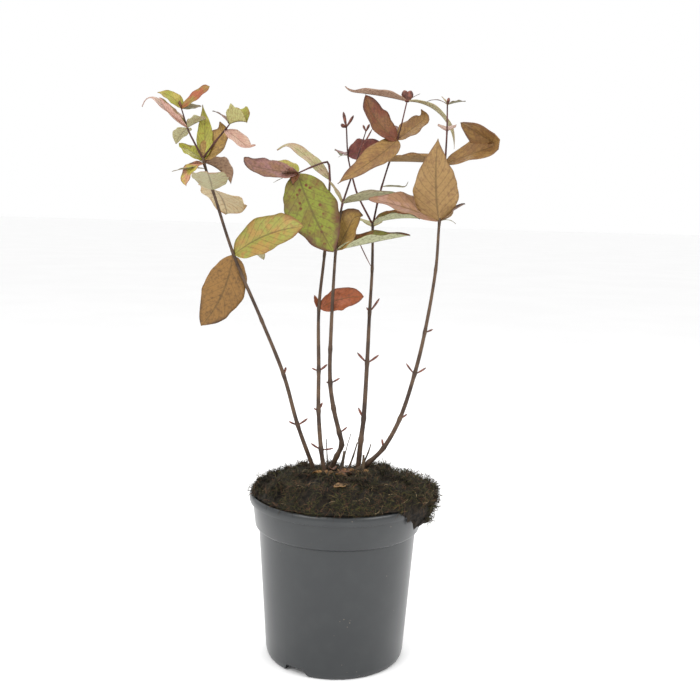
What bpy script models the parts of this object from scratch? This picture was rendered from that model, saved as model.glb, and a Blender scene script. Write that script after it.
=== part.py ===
"""A young hypericum in a nursery pot: five canes from one mossy root ball, thinly hung with autumn leaves.

The pot's axis is the Z axis and the floor is Z = 0. The view from the front looks along +Y, with +X to the
right. Sizes are in millimetres and become metres when a mesh is made.
"""

from dataclasses import dataclass
import math

import bmesh
import bpy
from mathutils import Vector, noise

MM = 0.001
GAP = 0.3                       # between solids that touch

# Pot: a round moulded container with a rolled lip, a deep band under it and a plain tapering wall
POT_SIDES = 60
POT_WALL = 1.6
POT_HEIGHT = 162.2
LIP_RADIUS = 85.7
LIP_DEPTH = 8.2
BAND_TOP_RADIUS = 82.5
BAND_FOOT_RADIUS = 79.8
BAND_FOOT = 130.0
WALL_TOP_RADIUS = 76.2
WALL_FOOT_RADIUS = 67.2
FLOOR_HEIGHT = 9.6              # top of the pot's floor, which is raised above its foot ring
FOOT_RING_WIDTH = 6.5
CENTRE_FOOT_RADIUS = 14.0
SLOT_FOOT_WIDTH = 30.0          # drainage slots cut through the foot ring
SLOT_TOP_WIDTH = 19.0
SLOT_HEIGHT = 7.4
SLOT_HEADINGS = (237.0, 57.0)
DRAIN_HOLES = 6
DRAIN_HOLE_RADIUS = 4.0
DRAIN_HOLE_CIRCLE = 44.0

# Root ball: compost and moss, heaped above the lip and spilling over it on the right
CROWN_HEIGHT = 183.0            # the level patch that the canes stand on
CROWN_RADIUS = 32.0
HEAP_LUMP = 2.4
BACK_FALL = 8.0                 # how far the heap falls away at the back
SPILL_HEADING = -14.0
SPILL_SPREAD = 44.0
SPILL_REACH = 9.5               # how far the moss hangs out past the lip
SPILL_DROP = 21.0
FOOT = CROWN_HEIGHT + GAP

# Limbs and leaves
LIMB_SIDES = 6
LIMB_STEP = 13.0                # longest run between two rings of a limb
SLEEVE_SIDES = 8
SLEEVE_HEIGHT = 5.0
SLEEVE_WALL = 1.4
FORK_SPREAD = 1.1               # how far the two boughs of a fork stand from its middle
ROOT_WIDTH = 1.7                # a leaf where it joins its node
LEAF_THICKNESS = 0.0115         # of its length
THINNEST_LEAF = 0.6

# Finishes: colour, roughness
POT_PLASTIC = ("3c4043", 0.45)
COMPOST = ("2b261c", 0.95)
CANE_BARK = ("5e4636", 0.65)
TWIG_BARK = ("5a2f2b", 0.6)
DEAD_WOOD = ("3d382c", 0.8)
OLIVE_LEAF = ("a3a046", 0.6)
OCHRE_LEAF = ("b48f52", 0.65)
RUSSET_LEAF = ("8f4f36", 0.65)
PINK_LEAF = ("b98878", 0.6)
PALE_LEAF = ("c3b98a", 0.6)
GREEN_LEAF = ("8f9a3c", 0.55)


@dataclass
class Leaf:
    """A leaf at a node of its carrier. Angles are in degrees, and a heading of 0 is +X and 90 is +Y."""

    node: int
    heading: float
    rise: float                 # of the midrib where the leaf starts
    length: float
    width: float
    lift: float = 0.0           # of its root above the node
    droop: float = 15.0         # how far the midrib turns down, evenly along the leaf
    hook: float = 0.0           # how much further its tip turns down, or up if negative
    crease: float = 0.7         # where the hook starts, as a share of the length
    sway: float = 0.0           # how far the midrib turns left
    roll: float = 0.0           # positive lifts the left half, seen from the node
    twist: float = 0.0          # more roll at the tip
    fold: float = 12.0          # each half raised from flat
    curl: float = 0.0           # each margin raised further
    point: float = 0.95         # a larger value draws the tip out


@dataclass
class Bud:
    """A short side shoot, bud or seed capsule: a spindle at a node of its carrier."""

    node: int
    heading: float
    rise: float
    length: float
    width: float


CANES = {
    "cane_left": {
        "width": (4.2, 2.3),
        "nodes": ((-24.5, 2, FOOT), (-40.5, -2, 227), (-54.5, -8, 276.5), (-75.5, -14, 328.5),
                  (-101, -25, 389.5), (-119, -36, 447), (-125.7, -41.4, 469), (-126.8, -42.2, 475)),
        "buds": (Bud(1, 180, 15, 9, 2.0), Bud(1, 0, 30, 11, 2.2), Bud(2, 30, 70, 7, 2.4)),
    },
    "cane_mid_left": {
        "width": (4.4, 2.2),
        "nodes": ((-13.5, -8, FOOT), (-17.4, -7, 204.6), (-20.8, -3, 241.7), (-21.6, 2, 279.5),
                  (-23, 10, 338.8), (-19, 18, 390), (-16.3, 25, 441), (-15.8, 27.2, 457)),
        "buds": (Bud(1, 178, 25, 11, 2.1), Bud(1, 5, 0, 12, 1.8), Bud(2, 20, 62, 8, 2.2), Bud(2, 170, 20, 5, 1.6),
                 Bud(3, 175, 15, 7, 1.6), Bud(3, 350, 35, 10, 2.3)),
    },
    "cane_middle": {
        "width": (5.0, 2.2),
        "nodes": ((-7.2, 8, FOOT), (-2.2, 6, 195.4), (2.3, 5, 206.8), (-0.4, 4, 219), (-6.5, 3, 243.3),
                  (-10.3, 2, 268), (-11, 0, 301), (-8.2, 2, 395), (-4.6, 6.5, 429), (-3.8, 7.4, 434)),
        "buds": (Bud(3, 5, 32, 9, 1.9), Bud(5, 10, 22, 10, 1.9), Bud(5, 185, 10, 4, 1.5)),
    },
    "cane_mid_right": {
        "width": (5.2, 2.3),
        "nodes": ((18.8, 6, FOOT), (20.9, 8, 211.5), (23, 11, 232), (25, 20, 285.7), (26.2, 28, 335),
                  (27.6, 34, 377), (27, 39, 417.5), (26.6, 39.8, 421.5)),
        "buds": (Bud(2, 150, 55, 11, 2.4), Bud(3, 175, 40, 13, 2.3), Bud(3, 5, 30, 13, 2.3),
                 Bud(4, 0, 52, 15, 2.2), Bud(4, 185, 50, 5, 1.6), Bud(5, 165, 58, 27, 1.1)),
    },
    "cane_right": {
        "width": (4.6, 2.2),
        "nodes": ((16, -6, FOOT), (29.2, -7, 193.8), (42.4, -8, 208), (56.9, -10, 237.3), (69.2, -12, 281),
                  (77.2, -14, 321.3), (85, -15, 380), (87, -12, 424.7), (90.1, -6, 453.5), (90.9, -3, 470.5)),
        "buds": (Bud(2, 150, 75, 8, 2.2), Bud(3, 0, 30, 8, 1.9), Bud(4, 165, 45, 12, 1.8), Bud(4, 5, 25, 12, 1.9),
                 Bud(5, 10, 15, 8, 1.8)),
    },
}

BOUGHS = {
    "bough_left_outer": {"fork": "cane_left", "side": -1, "width": (1.8, 1.6), "nodes": ((-138.6, -39.4, 494.5),)},
    "bough_left_inner": {"fork": "cane_left", "side": 1, "width": (1.8, 1.6),
                         "nodes": ((-115, -49.5, 488.5), (-109, -53, 495))},
    "bough_mid_right_left": {"fork": "cane_mid_right", "side": -1, "width": (2.0, 1.7),
                             "nodes": ((11.5, 46, 448), (5.6, 50, 466))},
    "bough_mid_right_right": {"fork": "cane_mid_right", "side": 1, "width": (2.0, 1.8),
                              "nodes": ((31, 42, 440.6), (33.8, 43.7, 452.6))},
}

# Foliage on a sleeve: leaf bases that clasp a cane at one of its nodes
CLASPING_FOLIAGE = {
    "foliage_left_low": {
        "cane": "cane_left", "node": 4, "finish": OCHRE_LEAF,
        "leaves": (Leaf(0, 345, 40, 72, 40, droop=34, roll=58, fold=8, point=0.75),
                   Leaf(0, 160, -84, 76, 38, droop=-38, roll=60, fold=6, point=0.8),
                   Leaf(0, 62, 12, 52, 26, droop=35)),
    },
    "foliage_left_middle": {
        "cane": "cane_left", "node": 5, "finish": PALE_LEAF,
        "leaves": (Leaf(0, 271, 30, 40, 32, droop=18, fold=10, point=0.6),
                   Leaf(0, 75, -1, 42, 50, droop=58, roll=18, fold=5, point=0.55)),
    },
    "foliage_left_fork": {
        "cane": "cane_left", "node": 6, "sleeve": 9.6, "finish": OLIVE_LEAF,
        "leaves": (Leaf(0, 48, -6, 36, 26, lift=1, droop=42, fold=56, roll=10),
                   Leaf(0, 200, -6, 28, 19, lift=1, droop=88, roll=-20, point=0.7),
                   Leaf(0, 190, 6, 29, 10, lift=-3.9, droop=24),
                   Leaf(0, 172, 12, 13, 4, lift=0),
                   Leaf(0, 140, 30, 19, 12, lift=2),
                   Leaf(0, 78, 66, 52, 15, lift=3.9, droop=-10, sway=50, point=1.2, roll=-10),
                   Leaf(0, 152, 32, 30, 19, lift=3.9, droop=5, roll=-20),
                   Leaf(0, 35, 54, 41, 22, lift=3.6, droop=0, hook=-70, roll=40)),
    },
    "foliage_mid_left_low": {
        "cane": "cane_mid_left", "node": 4, "finish": RUSSET_LEAF,
        "leaves": (Leaf(0, 350, 36, 45, 24, droop=36, roll=58, fold=5, point=0.7),
                   Leaf(0, 120, 62, 15, 6)),
    },
    "foliage_middle_low": {
        "cane": "cane_middle", "node": 7, "finish": GREEN_LEAF,
        "leaves": (Leaf(0, 3, 14, 71, 24, droop=2, fold=52, roll=14),
                   Leaf(0, 20, 60, 44, 34, droop=-5, hook=60, roll=30, curl=60, fold=5, point=0.6)),
    },
    "foliage_mid_right_fork": {
        "cane": "cane_mid_right", "node": 6, "sleeve": 7.5, "finish": OLIVE_LEAF,
        "leaves": (Leaf(0, 355, 20, 46, 20, lift=3, droop=24, fold=50, roll=15),
                   Leaf(0, 95, 25, 44, 24, droop=40)),
    },
    "foliage_right_low": {
        "cane": "cane_right", "node": 7, "finish": OCHRE_LEAF,
        "leaves": (Leaf(0, 215, 76, 75, 42, droop=-20, roll=52, fold=8, point=1.25),
                   Leaf(0, 178, 24, 68, 34, droop=16, roll=-35, fold=20),
                   Leaf(0, 20, 42, 30, 19, curl=40),
                   Leaf(0, 10, 30, 16, 3.2, droop=70),
                   Leaf(0, 88, 30, 50, 28, droop=45)),
    },
}

# Foliage on a twig, which carries on from a limb's tip. The first node is that tip.
TWIG_FOLIAGE = {
    "foliage_left_outer": {
        "limb": "bough_left_outer", "width": (1.6, 1.1), "finish": OLIVE_LEAF,
        "nodes": ((-141.3, -38, 500.2), (-147.2, -35, 517.5)),
        "leaves": (Leaf(1, 190, 22, 36, 16, droop=-45, fold=50, roll=-10, point=0.7),
                   Leaf(1, 166, 43, 56, 16, droop=12, hook=95, roll=-15),
                   Leaf(1, 15, 36, 19, 20, fold=40),
                   Leaf(1, 122, -8, 30, 16, droop=30),
                   Leaf(2, 165, 62, 28, 13, droop=58, roll=-40),
                   Leaf(2, 350, 38, 32, 13, droop=3, roll=50, point=0.45),
                   Leaf(2, 20, 12, 18, 8, droop=5, roll=40),
                   Bud(2, 170, 70, 6, 2.4)),
    },
    "foliage_left_inner": {
        "limb": "bough_left_inner", "width": (1.6, 1.2), "finish": OLIVE_LEAF,
        "nodes": ((-106, -55, 498), (-102, -58, 502.5)),
        "leaves": (Leaf(2, 318, 18, 23, 30, droop=30, fold=60, point=0.6),
                   Leaf(2, 165, 60, 20, 9, droop=45),
                   Leaf(1, 340, -28, 34, 16, droop=15, hook=-70, roll=30)),
    },
    "foliage_mid_left_top": {
        "limb": "cane_mid_left", "width": (2.1, 1.4), "finish": GREEN_LEAF,
        "nodes": ((-15.7, 28, 461), (-16.8, 29.6, 475), (-18.6, 29.2, 478), (-33.8, 20, 472), (-46, 10, 465.5)),
        "leaves": (Leaf(1, 166, 48, 66, 15, droop=22, hook=60, roll=-35),
                   Leaf(5, 325, -66, 84, 50, droop=-14, roll=42, fold=6, point=0.8),
                   Leaf(5, 195, 3, 54, 22, droop=-8, hook=-40, roll=-52, point=0.6),
                   Leaf(5, 140, 28, 36, 18, roll=-20),
                   Leaf(5, 75, -25, 48, 26, droop=40),
                   Leaf(5, 215, 5, 17, 11, curl=40),
                   Leaf(5, 250, -40, 15, 10, curl=40),
                   Leaf(5, 200, -14, 25, 3.2),
                   Bud(5, 200, 20, 9, 6)),
    },
    "foliage_middle_top": {
        "limb": "cane_middle", "width": (2.1, 1.0), "finish": RUSSET_LEAF,
        "nodes": ((-3, 8, 438.5), (7.5, 22, 472.6), (12.3, 29, 490), (17.6, 34, 508)),
        "leaves": (Leaf(1, 150, 62, 27, 8),
                   Leaf(1, 355, 12, 62, 20, droop=10, fold=52, roll=12),
                   Bud(3, 25, 55, 22, 1.5),
                   Bud(4, 20, 60, 7, 2.4),
                   Bud(4, 170, 60, 6, 2.2)),
    },
    "foliage_mid_right_left": {
        "limb": "bough_mid_right_left", "width": (1.6, 1.4), "finish": RUSSET_LEAF,
        "nodes": ((1.1, 53, 485.5), (-1.2, 57, 513.7)),
        "leaves": (Leaf(1, 8, 22, 42, 28, droop=14, roll=50),
                   Leaf(1, 190, 18, 10, 2, droop=50),
                   Leaf(1, 100, 25, 40, 22, droop=40),
                   Bud(2, 130, 68, 14, 3.2),
                   Bud(2, 10, 55, 12, 2.8),
                   Bud(2, 200, 10, 6, 4)),
    },
    "foliage_mid_right_right": {
        "limb": "bough_mid_right_right", "width": (1.8, 1.2), "finish": PINK_LEAF,
        "nodes": ((34.7, 44, 456.2), (41.1, 44, 478.8), (48.4, 40, 501.2), (56.1, 36, 537)),
        "leaves": (Leaf(1, 0, 6, 29, 6, hook=-80, fold=30),
                   Leaf(3, 190, 28, 54, 30, droop=-45, roll=-55, point=0.7),
                   Leaf(3, 12, 36, 44, 28, droop=-5, hook=-90, roll=30),
                   Leaf(3, 240, -30, 84, 25, droop=4, sway=-48, roll=-35),
                   Leaf(3, 105, 40, 40, 20, droop=30),
                   Leaf(4, 182, 12, 62, 18, droop=10, hook=-60, crease=0.8, fold=35),
                   Leaf(4, 8, 6, 72, 12, droop=92, fold=30),
                   Leaf(4, 10, 40, 15, 3),
                   Bud(4, 150, 70, 10, 7),
                   Bud(4, 20, 66, 10, 7)),
    },
    "foliage_right_top": {
        "limb": "cane_right", "width": (2.0, 1.3), "finish": OCHRE_LEAF,
        "nodes": ((91.1, -2, 477.4), (91.9, 1, 507.5), (91.4, 2, 531)),
        "leaves": (Leaf(1, 147, 5, 71, 22, droop=6, fold=45, roll=-10),
                   Leaf(1, 348, 18, 80, 34, droop=4, hook=-150, crease=0.5, roll=40, fold=14, point=0.6),
                   Leaf(2, 85, 30, 34, 18, droop=40),
                   Leaf(3, 352, 20, 17, 12),
                   Leaf(3, 175, 45, 22, 3, droop=75),
                   Leaf(3, 150, 60, 10, 5),
                   Bud(3, 300, 70, 6, 3)),
    },
}

# Dead stubs and thin dry shoots round the canes' feet: foot width, tip width, then the points they pass
DEAD_STUBS = {
    "stub_thin_left": ((1.3, 0.9), ((-10.8, -4, FOOT), (-11.4, -3.5, 196), (-12.8, -2, 214))),
    "stub_dark": ((3.4, 2.2), ((1.5, -3, FOOT), (3.4, -1.5, 190), (5, 0, 202))),
    "stub_straw": ((1.0, 0.7), ((3.6, 3.4, FOOT), (6.6, 3.2, 202), (11.1, 6, 218.5))),
    "stub_middle": ((2.0, 1.2), ((9.2, 1, FOOT), (13.8, 3, 196.6), (17.4, 1.5, 210.5))),
    "stub_right": ((2.2, 1.0), ((22.6, 13.4, FOOT), (28.5, 14, 197.4), (31, 15, 206))),
    "stub_shoot": ((3.4, 2.0), ((22.6, -12.5, FOOT), (23.4, -11.5, 193), (23.4, -11, 201.5))),
}


def clear_scene():
    for thing in list(bpy.data.objects):
        bpy.data.objects.remove(thing, do_unlink=True)


def linear(channel):
    return channel / 12.92 if channel <= 0.04045 else ((channel + 0.055) / 1.055) ** 2.4


def material(name, finish):
    colour, roughness = finish
    made = bpy.data.materials.new(name)
    made.use_nodes = True
    shader = made.node_tree.nodes["Principled BSDF"]
    rgb = [linear(int(colour[i:i + 2], 16) / 255) for i in (0, 2, 4)]
    shader.inputs["Base Color"].default_value = (*rgb, 1.0)
    shader.inputs["Roughness"].default_value = roughness
    shader.inputs["Metallic"].default_value = 0.0
    return made


def add_object(name, bm, finish=None, smooth=True):
    """Turns a mesh drawn in millimetres into an object in metres."""
    bmesh.ops.recalc_face_normals(bm, faces=bm.faces)
    bmesh.ops.scale(bm, vec=(MM, MM, MM), verts=bm.verts)
    mesh = bpy.data.meshes.new(name)
    bm.to_mesh(mesh)
    bm.free()
    if smooth:
        mesh.shade_smooth()
        mesh.set_sharp_from_angle(angle=math.radians(40))
    made = bpy.data.objects.new(name, mesh)
    if finish:
        mesh.materials.append(material(name, finish))
    bpy.context.scene.collection.objects.link(made)
    return made


def direction_of(heading, rise):
    flat = math.cos(math.radians(rise))
    turn = math.radians(heading)
    return Vector((flat * math.cos(turn), flat * math.sin(turn), math.sin(math.radians(rise))))


def mix(a, b, share):
    return a + (b - a) * share


def clamp(value):
    return min(1.0, max(0.0, value))


def loft(bm, rings, closed=False):
    """Joins rings of points with quads. A closed loft meets itself; an open one is capped at both ends."""
    loops = [[bm.verts.new(point) for point in ring] for ring in rings]
    pairs = list(zip(loops, loops[1:]))
    if closed:
        pairs.append((loops[-1], loops[0]))
    for low, high in pairs:
        for i, corner in enumerate(low):
            after = (i + 1) % len(low)
            bm.faces.new((corner, low[after], high[after], high[i]))
    if not closed:
        bm.faces.new(loops[0])
        bm.faces.new(loops[-1])


def turned_ring(radius, height, sides=POT_SIDES):
    turns = [math.tau * i / sides for i in range(sides)]
    return [Vector((radius * math.cos(turn), radius * math.sin(turn), height)) for turn in turns]


def ring_about(centre, along, radius, sides):
    """A ring square to a limb, turned so that its corners keep their headings all the way up."""
    across = (Vector((0, 1, 0)) - along * along.y).normalized()
    other = along.cross(across)
    turns = [math.tau * i / sides for i in range(sides)]
    return [centre + (across * math.cos(turn) + other * math.sin(turn)) * radius for turn in turns]


# Pot

def wall_radius(height):
    """The outer radius of the plain wall."""
    return mix(WALL_FOOT_RADIUS, WALL_TOP_RADIUS, height / (BAND_FOOT - 2))


def pot_outline():
    """Radius and height, from the underside's rim, up the outside, over the lip and down the inside."""
    ring_inner = WALL_FOOT_RADIUS - FOOT_RING_WIDTH - 2
    ceiling = FLOOR_HEIGHT - POT_WALL
    lip_foot = POT_HEIGHT - LIP_DEPTH
    return (
        (CENTRE_FOOT_RADIUS, 0),
        (CENTRE_FOOT_RADIUS, ceiling),
        (ring_inner, ceiling),
        (ring_inner, 0),
        (WALL_FOOT_RADIUS - 3.6, 0),
        (WALL_FOOT_RADIUS - 1.6, 0.9),
        (WALL_FOOT_RADIUS - 0.4, 3.0),
        (wall_radius(7), 7),
        (wall_radius(BAND_FOOT - 2), BAND_FOOT - 2),
        (BAND_FOOT_RADIUS - 0.7, BAND_FOOT),
        (BAND_FOOT_RADIUS, BAND_FOOT + 1.2),
        (BAND_TOP_RADIUS, lip_foot - 1),
        (LIP_RADIUS - 0.7, lip_foot),
        (LIP_RADIUS, lip_foot + 2),
        (LIP_RADIUS, POT_HEIGHT - 2.2),
        (LIP_RADIUS - 0.8, POT_HEIGHT - 0.6),
        (LIP_RADIUS - 2.1, POT_HEIGHT),
        (LIP_RADIUS - 3.4, POT_HEIGHT - 0.6),
        (BAND_TOP_RADIUS - POT_WALL, POT_HEIGHT - 2.8),
        (BAND_FOOT_RADIUS - POT_WALL, BAND_FOOT + 1.8),
        (wall_radius(BAND_FOOT) - POT_WALL, BAND_FOOT - 1.2),
        (wall_radius(FLOOR_HEIGHT) - POT_WALL, FLOOR_HEIGHT + 4),
        (wall_radius(FLOOR_HEIGHT) - POT_WALL - 4, FLOOR_HEIGHT),
    )


def slot_cutter(heading):
    """A slot through the foot ring, narrower at its top."""
    out = direction_of(heading, 0)
    across = Vector((-out.y, out.x, 0))
    start, end = WALL_FOOT_RADIUS - 20, WALL_FOOT_RADIUS + 8
    bm = bmesh.new()
    section = ((-SLOT_FOOT_WIDTH / 2, -2), (SLOT_FOOT_WIDTH / 2, -2), (SLOT_TOP_WIDTH / 2, SLOT_HEIGHT),
               (-SLOT_TOP_WIDTH / 2, SLOT_HEIGHT))
    loft(bm, [[out * reach + across * x + Vector((0, 0, z)) for x, z in section] for reach in (start, end)])
    return add_object(f"slot_cutter_{heading:.0f}", bm)


def hole_cutter(heading):
    """A round drain hole through the raised floor."""
    centre = direction_of(heading, 0) * DRAIN_HOLE_CIRCLE
    bm = bmesh.new()
    heights = (FLOOR_HEIGHT - POT_WALL - 2, FLOOR_HEIGHT + 2)
    loft(bm, [[centre + point for point in turned_ring(DRAIN_HOLE_RADIUS, height, 12)] for height in heights])
    return add_object(f"hole_cutter_{heading:.0f}", bm)


def cut(target, cutter):
    cutter.hide_render = True
    cutter.display_type = "WIRE"
    step = target.modifiers.new(cutter.name, "BOOLEAN")
    step.operation = "DIFFERENCE"
    step.object = cutter


def build_pot():
    bm = bmesh.new()
    loft(bm, [turned_ring(radius, height) for radius, height in pot_outline()])
    pot = add_object("pot", bm, POT_PLASTIC)
    for heading in SLOT_HEADINGS:
        cut(pot, slot_cutter(heading))
    for i in range(DRAIN_HOLES):
        cut(pot, hole_cutter(15 + 360 * i / DRAIN_HOLES))


# Root ball

def spill_at(heading):
    """0 where the moss stops inside the lip, 1 where it hangs over it."""
    away = abs((heading - SPILL_HEADING + 180) % 360 - 180)
    return clamp(1.25 * math.cos(math.radians(min(90, away * 90 / SPILL_SPREAD))))


def heap_profile(heading):
    """Radius and height of the root ball at one heading, from its underside up and over to its crown."""
    spill = spill_at(heading)
    reach = clamp(spill * 2)
    hang = clamp(spill * 2 - 1)
    outside = LIP_RADIUS + 1.0
    inside = [
        (wall_radius(FLOOR_HEIGHT) - POT_WALL - 5, FLOOR_HEIGHT + GAP),
        (wall_radius(FLOOR_HEIGHT) - POT_WALL - 0.6, FLOOR_HEIGHT + 5),
        (wall_radius(BAND_FOOT) - POT_WALL - 0.6, BAND_FOOT - 1),
        (BAND_FOOT_RADIUS - POT_WALL - 0.6, BAND_FOOT + 3),
        (BAND_TOP_RADIUS - POT_WALL - 0.8, POT_HEIGHT - 3),
        (BAND_TOP_RADIUS - POT_WALL - 0.8, POT_HEIGHT + 0.6),
    ]
    hanging = [
        (mix(LIP_RADIUS - 4.2, outside, reach), POT_HEIGHT + 0.7),
        (mix(LIP_RADIUS - 4.0, outside + 0.1, reach), POT_HEIGHT + 1.0 - hang * SPILL_DROP),
        (mix(LIP_RADIUS - 3.8, outside + 1.2, reach) + hang * 1.4, POT_HEIGHT + 1.5 - hang * SPILL_DROP),
    ]
    lump = HEAP_LUMP * noise.noise(2.4 * direction_of(heading, 0) + Vector((0.3, 1.7, 0.5)))
    fine = HEAP_LUMP * noise.noise(7.0 * direction_of(heading, 0) + Vector((4.1, 0.2, 2.2)))
    fall = BACK_FALL * clamp(math.sin(math.radians(heading)) * 1.3)
    heap = [
        (mix(LIP_RADIUS - 3.6, LIP_RADIUS + SPILL_REACH, spill) + fine * hang,
         mix(POT_HEIGHT + 3.2, POT_HEIGHT - 1.5, spill)),
        (mix(79.5, 91.5, spill), mix(169, 172, spill) + lump - fall * 0.3),
        (mix(71, 80, spill), mix(176, 181, spill) + fine - fall * 0.8),
        (60 + lump, 182.5 + 1.2 * fine - fall),
        (46 + fine, 184.8 + lump - fall * 0.6),
        (CROWN_RADIUS, CROWN_HEIGHT),
    ]
    return inside + hanging + heap


def build_root_ball():
    headings = [360 * i / POT_SIDES for i in range(POT_SIDES)]
    profiles = [heap_profile(heading) for heading in headings]
    rings = []
    for level in range(len(profiles[0])):
        ring = []
        for heading, profile in zip(headings, profiles):
            radius, height = profile[level]
            ring.append(direction_of(heading, 0) * radius + Vector((0, 0, height)))
        rings.append(ring)
    bm = bmesh.new()
    loft(bm, rings)
    add_object("root_ball", bm, COMPOST)


# Limbs

def smooth_route(nodes):
    """Points along a smooth curve through the nodes, and the index of each node among them."""
    knots = [Vector(node) for node in nodes]
    ends = [knots[0] * 2 - knots[1], *knots, knots[-1] * 2 - knots[-2]]
    points, marks = [knots[0]], [0]
    for before, start, end, after in zip(ends, knots, knots[1:], ends[3:]):
        span = (end - start).length
        leave = (end - before) * (span / max((end - before).length, span))
        arrive = (after - start) * (span / max((after - start).length, span))
        pieces = max(1, math.ceil(span / LIMB_STEP))
        for piece in range(1, pieces + 1):
            t = piece / pieces
            points.append(start * (2 * t ** 3 - 3 * t ** 2 + 1) + end * (3 * t ** 2 - 2 * t ** 3)
                          + leave * (t ** 3 - 2 * t ** 2 + t) + arrive * (t ** 3 - t ** 2))
        marks.append(len(points) - 1)
    return points, marks


class Limb:
    """A tapering limb through its nodes."""

    def __init__(self, nodes, width):
        self.points, self.marks = smooth_route(nodes)
        lengths = [(b - a).length for a, b in zip(self.points, self.points[1:])]
        runs = [sum(lengths[:i]) for i in range(len(self.points))]
        self.radii = [mix(width[0], width[1], run / runs[-1]) / 2 for run in runs]
        before = [self.points[0], *self.points[:-1]]
        after = [*self.points[1:], self.points[-1]]
        self.along = [(b - a).normalized() for a, b in zip(before, after)]

    def at(self, node):
        mark = self.marks[node]
        return self.points[mark], self.along[mark], self.radii[mark]

    def mesh(self, level_foot=False):
        rings = [ring_about(point, along, radius, LIMB_SIDES)
                 for point, along, radius in zip(self.points, self.along, self.radii)]
        if level_foot:
            foot = self.points[0]
            flare = [foot + (corner - foot) * 1.5 for corner in rings[0]]
            rings[0] = [corner - self.along[0] * ((corner.z - foot.z) / self.along[0].z) for corner in flare]
        bm = bmesh.new()
        loft(bm, rings)
        return bm


# Leaves and buds

def leaf_outline(share, point):
    """Half width along the leaf, as a share of its widest."""
    base = 0.62
    widest = base / (base + point)
    return (share ** base * (1 - share) ** point) / (widest ** base * (1 - widest) ** point)


def leaf_frames(leaf, root, segments):
    """Points along the midrib, each with the leaf's own left and up there."""
    frames = []
    spot = root.copy()
    for i in range(segments + 1):
        share = i / segments
        heading = leaf.heading + leaf.sway * share
        turned = clamp((share - leaf.crease) / 0.28)
        pitch = leaf.rise - leaf.droop * share - leaf.hook * turned * turned * (3 - 2 * turned)
        forward = direction_of(heading, pitch)
        if i:
            spot = spot + forward * (leaf.length / segments)
        level = Vector((-math.sin(math.radians(heading)), math.cos(math.radians(heading)), 0))
        up = forward.cross(level)
        roll = math.radians(leaf.roll + leaf.twist * share)
        frames.append((spot.copy(), level * math.cos(roll) + up * math.sin(roll),
                       up * math.cos(roll) - level * math.sin(roll)))
    return frames


def build_leaf(name, leaf, root):
    """A blade of even thickness, raised on both sides of its midrib."""
    segments = max(4, round(leaf.length / 11))
    lanes = 2 if leaf.width > 18 else 1
    thickness = max(THINNEST_LEAF, leaf.length * LEAF_THICKNESS)
    fold, curl = math.radians(leaf.fold), math.radians(leaf.curl)
    rings = []
    for i, (spot, left, up) in enumerate(leaf_frames(leaf, root, segments)):
        share = i / segments
        half = max(leaf_outline(share, leaf.point) * leaf.width / 2, mix(ROOT_WIDTH / 2, 0.35, share))
        top, bottom = [], []
        for lane in range(-lanes, lanes + 1):
            side = (lane > 0) - (lane < 0)
            reach = abs(lane) / lanes
            mean = fold + curl * share * reach / 2
            lean = (fold + curl * share * reach) * abs(side)
            middle = spot + (left * (side * math.cos(mean)) + up * math.sin(mean)) * (half * reach)
            facing = up * math.cos(lean) - left * (side * math.sin(lean))
            top.append(middle + facing * (thickness / 2))
            bottom.append(middle - facing * (thickness / 2))
        rings.append(top + bottom[::-1])
    bm = bmesh.new()
    loft(bm, rings)
    return add_object(name, bm)


def build_bud(name, bud, root):
    along = direction_of(bud.heading, bud.rise)
    shape = ((0.0, 0.45), (0.35, 0.8), (0.7, 1.0), (1.0, 0.45))
    bm = bmesh.new()
    loft(bm, [ring_about(root + along * (bud.length * reach), along, bud.width / 2 * share, 5)
              for reach, share in shape])
    return add_object(name, bm)


def largest_body(mesh):
    """Drops the scraps and sealed hollows that a union leaves."""
    bm = bmesh.new()
    bm.from_mesh(mesh)
    bmesh.ops.triangulate(bm, faces=bm.faces)
    bodies, seen = [], set()
    for start in bm.faces:
        if start in seen:
            continue
        body, front = [], [start]
        seen.add(start)
        while front:
            face = front.pop()
            body.append(face)
            for edge in face.edges:
                for other in edge.link_faces:
                    if other not in seen:
                        seen.add(other)
                        front.append(other)
        bodies.append(body)
    bodies.sort(key=len, reverse=True)
    loose = [face for body in bodies[1:] for face in body]
    bmesh.ops.delete(bm, geom=loose, context="FACES")
    bm.to_mesh(mesh)
    bm.free()


def fuse(base, parts):
    """Joins the parts to the base with one union, then removes them."""
    group = bpy.data.collections.new(base.name + "_parts")
    bpy.context.scene.collection.children.link(group)
    for part in parts:
        bpy.context.scene.collection.objects.unlink(part)
        group.objects.link(part)
    union = base.modifiers.new("union", "BOOLEAN")
    union.operation = "UNION"
    union.operand_type = "COLLECTION"
    union.collection = group
    union.solver = "MANIFOLD"
    bpy.context.view_layer.update()
    graph = bpy.context.evaluated_depsgraph_get()
    joined = bpy.data.meshes.new_from_object(base.evaluated_get(graph))
    base.modifiers.clear()
    joined.name = base.name
    base.data = joined
    largest_body(joined)
    for part in parts:
        bpy.data.objects.remove(part, do_unlink=True)
    bpy.data.collections.remove(group)


def build_growth(base, growths, root_of):
    """Fuses leaves and buds to a limb, twig or sleeve. root_of says where each one starts."""
    parts = []
    for i, growth in enumerate(growths):
        build = build_bud if isinstance(growth, Bud) else build_leaf
        parts.append(build(f"{base.name}_{i}", growth, root_of(growth)))
    if parts:
        fuse(base, parts)


# The plant

def build_cane(name, cane):
    limb = Limb(cane["nodes"], cane["width"])
    base = add_object(name, limb.mesh(level_foot=True), CANE_BARK)
    build_growth(base, cane["buds"], lambda bud: limb.at(bud.node)[0])
    return limb


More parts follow.
